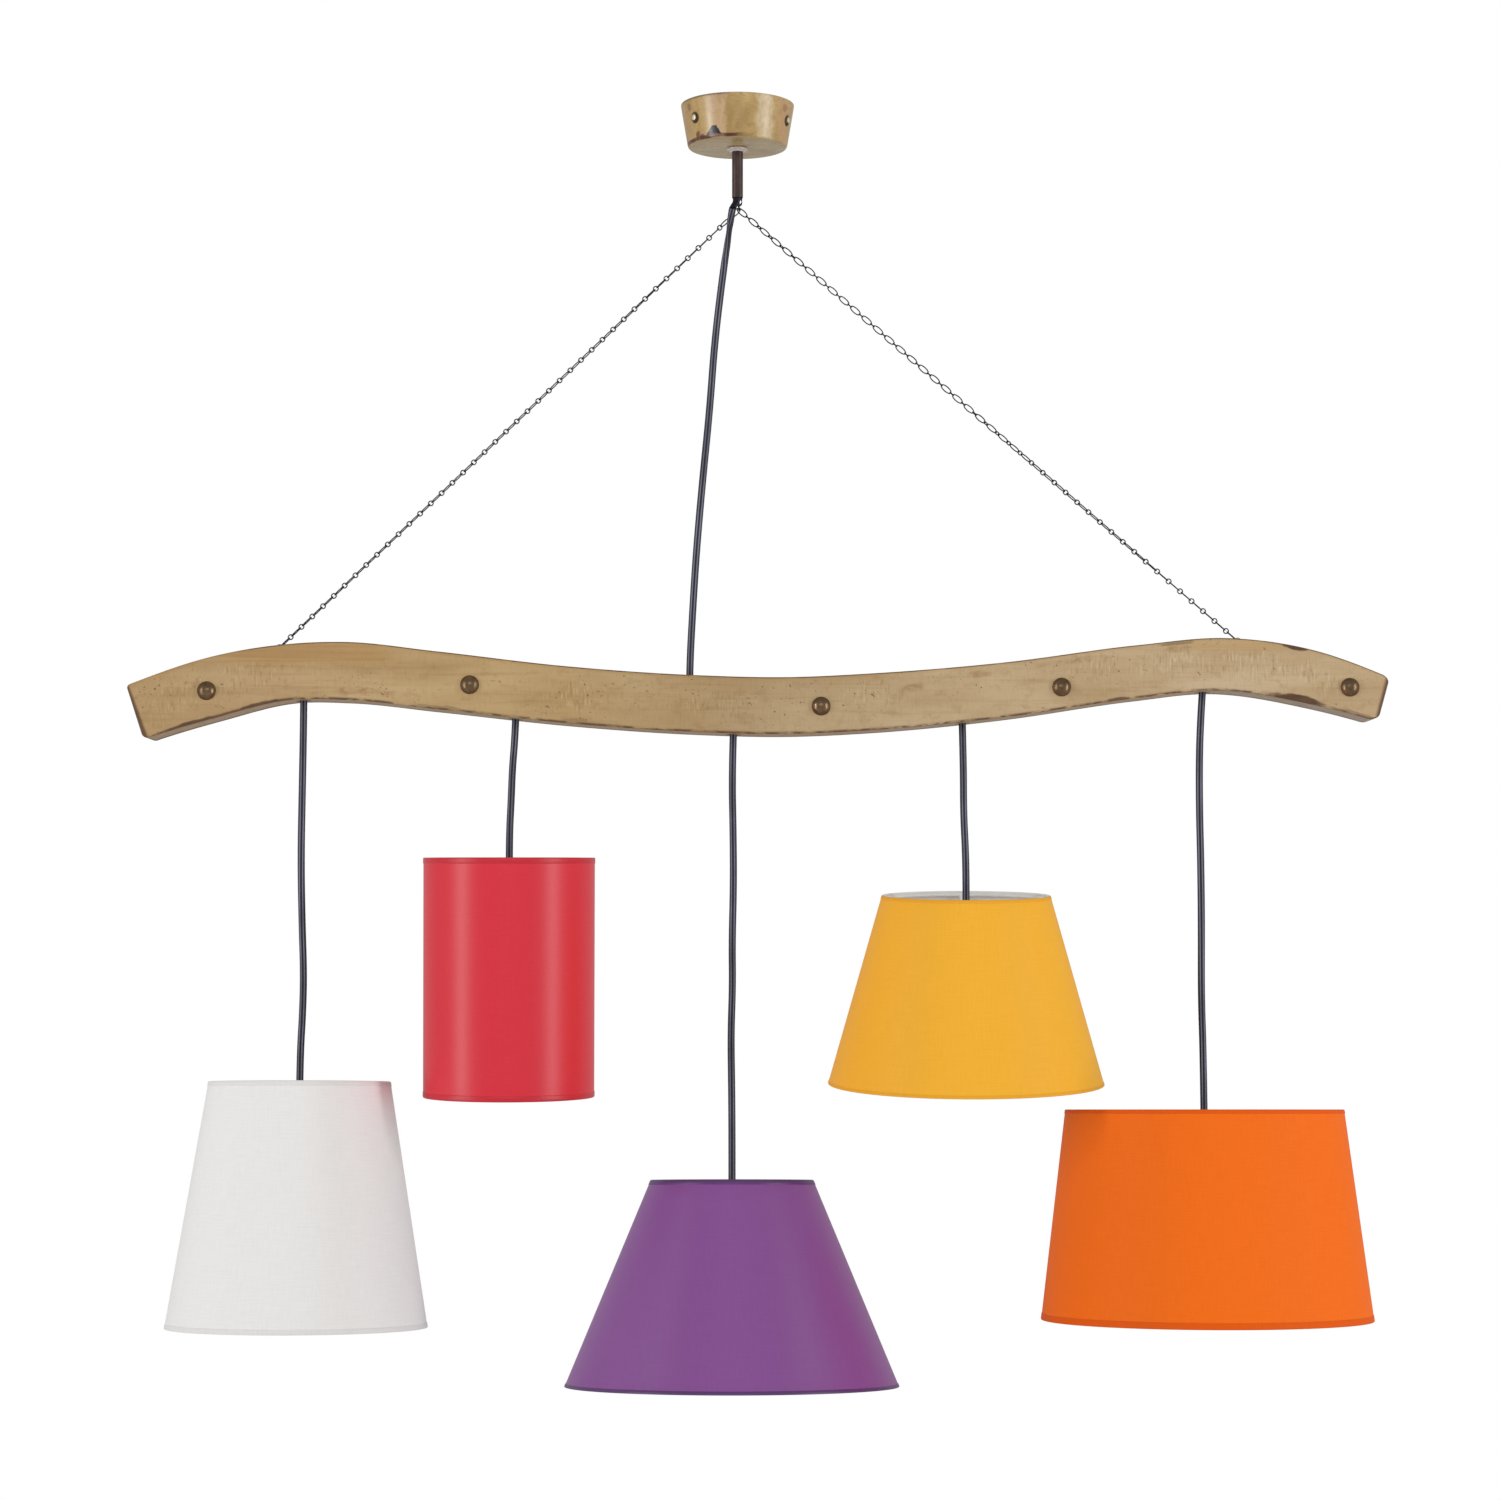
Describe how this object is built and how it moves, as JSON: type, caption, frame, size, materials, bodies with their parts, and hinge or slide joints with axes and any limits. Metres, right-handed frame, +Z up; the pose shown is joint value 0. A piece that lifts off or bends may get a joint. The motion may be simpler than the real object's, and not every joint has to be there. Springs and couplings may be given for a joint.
{
  "type": "wooden chandelier",
  "caption": "Chandelier of a wavy waxed wooden beam hung by two chains from a turned wooden ceiling rose, with fabric shades in white, red, purple, yellow and orange on black flexes.",
  "frame": {"origin": "centre of the ceiling bracket's upper face, in the ceiling plane, on the stem's axis", "axes": "+Z up; +X along the beam to the right as seen from the front; the front, with the dome nails, faces -Y"},
  "size_m": [1.0925, 0.287, 1.1265],
  "materials": {
    "pale_wood": "waxed, pitted, saw-marked",
    "turned_wood": "turned and waxed",
    "board_wood": "sawn",
    "bronze": "aged bronze",
    "dark_steel": "dark brown, worn",
    "zinc_steel": "zinc plated",
    "blackened_chain": "blackened, satin",
    "grey_chain": "gunmetal, satin",
    "black_flex": "black flexible sheath",
    "clear_plastic": "translucent",
    "white_plastic": "moulded",
    "grey_plastic": "moulded",
    "frame_wire": "white coated",
    "bulb_glass": "opal",
    "white_fabric": "fabric laminated on a stiff liner",
    "red_fabric": "fabric laminated on a stiff liner",
    "purple_fabric": "fabric laminated on a stiff liner",
    "yellow_fabric": "fabric laminated on a stiff liner",
    "orange_fabric": "fabric laminated on a stiff liner"
  },
  "bodies": {
    "ceiling": {"ceiling_bracket": "zinc_steel", "stem_tube": "dark_steel", "stem_locknut": "zinc_steel", "rose_terminal_block": "white_plastic", "stem_lead": "black_flex"},
    "rose": {"ceiling_rose": "turned_wood", "rose_side_screws": "bronze", "stem_washer": "clear_plastic"},
    "ring": {"hook_ring": "dark_steel"},
    "frame": {"left_chain": "grey_chain", "right_chain": "blackened_chain", "chain_screw_eyes": "zinc_steel", "beam": "pale_wood", "beam_back_board": "board_wood", "back_board_screws": "zinc_steel", "dome_nails": "bronze", "beam_terminal_block": "white_plastic", "channel_leads": "black_flex", "main_flex": "black_flex"},
    "white_hanger": {"white_knot": "black_flex"},
    "white_pendant": {"white_flex": "black_flex", "white_holder_cap": "white_plastic", "white_holder_body": "white_plastic", "white_shade_ring": "white_plastic", "white_shade_frame": "frame_wire", "white_shade": "white_fabric", "white_bulb": "bulb_glass"},
    "red_hanger": {"red_knot": "black_flex"},
    "red_pendant": {"red_flex": "black_flex", "red_holder_cap": "white_plastic", "red_holder_body": "white_plastic", "red_shade_ring": "white_plastic", "red_shade_frame": "frame_wire", "red_shade": "red_fabric", "red_bulb": "bulb_glass"},
    "purple_hanger": {"purple_knot": "black_flex"},
    "purple_pendant": {"purple_flex": "black_flex", "purple_holder_cap": "white_plastic", "purple_holder_body": "white_plastic", "purple_shade_ring": "white_plastic", "purple_shade_frame": "frame_wire", "purple_shade": "purple_fabric", "purple_bulb": "bulb_glass"},
    "yellow_hanger": {"yellow_knot": "black_flex"},
    "yellow_pendant": {"yellow_flex": "black_flex", "yellow_holder_cap": "white_plastic", "yellow_holder_body": "white_plastic", "yellow_shade_ring": "white_plastic", "yellow_shade_frame": "frame_wire", "yellow_shade": "yellow_fabric", "yellow_bulb": "bulb_glass"},
    "orange_hanger": {"orange_knot": "black_flex"},
    "orange_pendant": {"orange_flex": "black_flex", "orange_holder_cap": "white_plastic", "orange_holder_body": "white_plastic", "orange_shade_ring": "white_plastic", "orange_shade_frame": "frame_wire", "orange_shade": "orange_fabric", "orange_bulb": "bulb_glass"}
  },
  "joints": [
    {"name": "rose_drop", "type": "slide", "parent": "ceiling", "child": "rose", "axis": [0, 0, -1], "range_m": [0, 0.034]},
    {"name": "frame_swing_fore_aft", "type": "hinge", "parent": "ceiling", "child": "ring", "pos_m": [0.0012, 0.0025, -0.088], "axis": [1, 0, 0], "range_deg": [-5, 5]},
    {"name": "frame_swing_side", "type": "hinge", "parent": "ring", "child": "frame", "pos_m": [0.0012, 0.0025, -0.09275], "axis": [0, 1, 0], "range_deg": [-5, 5]},
    {"name": "white_swing_fore_aft", "type": "hinge", "parent": "frame", "child": "white_hanger", "pos_m": [-0.3775, 0, -0.51481], "axis": [1, 0, 0], "range_deg": [-12, 12]},
    {"name": "white_swing_side", "type": "hinge", "parent": "white_hanger", "child": "white_pendant", "pos_m": [-0.3775, 0, -0.51481], "axis": [0, 1, 0], "range_deg": [-4, 10]},
    {"name": "red_swing_fore_aft", "type": "hinge", "parent": "frame", "child": "red_hanger", "pos_m": [-0.1928, 0, -0.53108], "axis": [1, 0, 0], "range_deg": [-12, 12]},
    {"name": "red_swing_side", "type": "hinge", "parent": "red_hanger", "child": "red_pendant", "pos_m": [-0.1928, 0, -0.53108], "axis": [0, 1, 0], "range_deg": [-10, 4]},
    {"name": "purple_swing_fore_aft", "type": "hinge", "parent": "frame", "child": "purple_hanger", "pos_m": [-0.0034, 0, -0.54449], "axis": [1, 0, 0], "range_deg": [-12, 12]},
    {"name": "purple_swing_side", "type": "hinge", "parent": "purple_hanger", "child": "purple_pendant", "pos_m": [-0.0034, 0, -0.54449], "axis": [0, 1, 0], "range_deg": [-8, 8]},
    {"name": "yellow_swing_fore_aft", "type": "hinge", "parent": "frame", "child": "yellow_hanger", "pos_m": [0.1956, 0, -0.53471], "axis": [1, 0, 0], "range_deg": [-12, 12]},
    {"name": "yellow_swing_side", "type": "hinge", "parent": "yellow_hanger", "child": "yellow_pendant", "pos_m": [0.1956, 0, -0.53471], "axis": [0, 1, 0], "range_deg": [-10, 4]},
    {"name": "orange_swing_fore_aft", "type": "hinge", "parent": "frame", "child": "orange_hanger", "pos_m": [0.4052, 0, -0.50746], "axis": [1, 0, 0], "range_deg": [-12, 12]},
    {"name": "orange_swing_side", "type": "hinge", "parent": "orange_hanger", "child": "orange_pendant", "pos_m": [0.4052, 0, -0.50746], "axis": [0, 1, 0], "range_deg": [-10, 4]}
  ]
}
